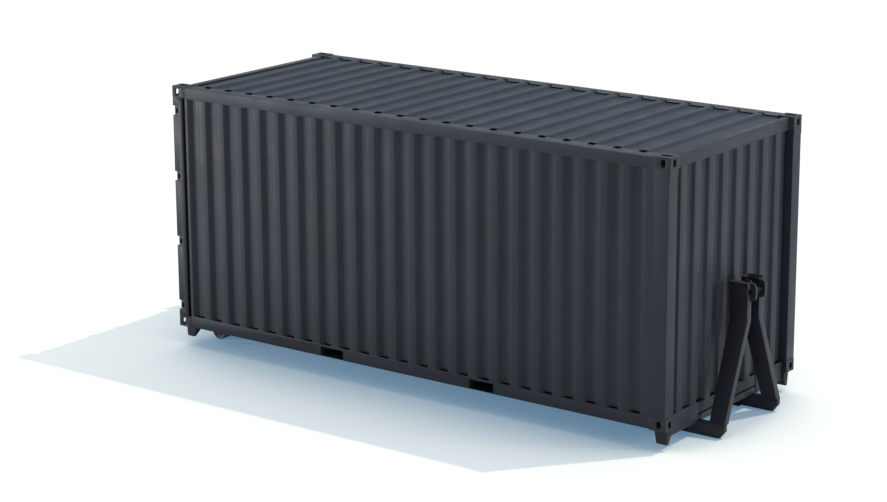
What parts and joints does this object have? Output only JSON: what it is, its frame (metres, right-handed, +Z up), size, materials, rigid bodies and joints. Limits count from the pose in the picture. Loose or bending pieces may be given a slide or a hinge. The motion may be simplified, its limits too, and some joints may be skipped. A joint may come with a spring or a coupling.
{
  "type": "hooklift container",
  "caption": "Closed corrugated steel box container with swinging rear doors, fixed on a hook-lift subframe with a front hook frame and rear ground rollers.",
  "frame": {"origin": "on the ground, under the middle of the whole object", "axes": "+X towards the hook end, +Y towards the left side, +Z up"},
  "size_m": [6.34, 2.438, 2.803],
  "materials": {
    "box_paint": "satin dark grey paint",
    "frame_paint": "satin near-black paint",
    "fitting_paint": "satin dark grey paint over galvanized fittings",
    "door_rubber": "matt black",
    "floor_timber": "oiled plywood",
    "worn_steel": "rubbed bright by the hook"
  },
  "bodies": {
    "container": {"bottom_rails": "box_paint", "top_rails": "box_paint", "front_posts": "box_paint", "rear_posts": "box_paint", "front_sill": "box_paint", "front_header": "box_paint", "rear_sill": "box_paint", "rear_header": "box_paint", "side_wall_right": "box_paint", "side_wall_left": "box_paint", "front_wall": "box_paint", "roof": "box_paint", "floor_boards": "floor_timber", "cross_members": "frame_paint", "fork_pockets": "frame_paint", "top_castings": "box_paint", "bottom_castings": "box_paint", "corner_feet": "frame_paint", "subframe_rails": "frame_paint", "subframe_front_beam": "frame_paint", "front_gussets": "box_paint", "subframe_ties": "frame_paint", "hook_leg_right": "frame_paint", "hook_leg_left": "frame_paint", "hook_cheeks": "frame_paint", "hook_bar": "worn_steel", "hook_guard": "frame_paint", "roller_brackets": "frame_paint", "roller_axles": "worn_steel", "hinge_lugs": "fitting_paint", "lock_keepers": "fitting_paint"},
    "door_right": {"door_frame_right": "box_paint", "door_panel_right": "box_paint", "door_gasket_right": "door_rubber", "door_hinges_right": "fitting_paint", "rod_guides_right": "fitting_paint", "lock_rods_right": "fitting_paint"},
    "door_left": {"door_frame_left": "box_paint", "door_panel_left": "box_paint", "door_gasket_left": "door_rubber", "door_hinges_left": "fitting_paint", "rod_guides_left": "fitting_paint", "lock_rods_left": "fitting_paint"},
    "roller_right": {"roller_right": "frame_paint"},
    "roller_left": {"roller_left": "frame_paint"}
  },
  "joints": [
    {"name": "door_right_hinge", "type": "hinge", "parent": "container", "child": "door_right", "pos_m": [-3.13, -1.205, 1.5], "axis": [0, 0, 1], "range_deg": [0, 262]},
    {"name": "door_left_hinge", "type": "hinge", "parent": "container", "child": "door_left", "pos_m": [-3.13, 1.205, 1.5], "axis": [0, 0, -1], "range_deg": [0, 262]},
    {"name": "roller_right_spin", "type": "hinge", "parent": "container", "child": "roller_right", "pos_m": [-2.956, -0.735, 0.095], "axis": [0, 1, 0], "continuous": true},
    {"name": "roller_left_spin", "type": "hinge", "parent": "container", "child": "roller_left", "pos_m": [-2.956, 0.735, 0.095], "axis": [0, 1, 0], "continuous": true}
  ]
}
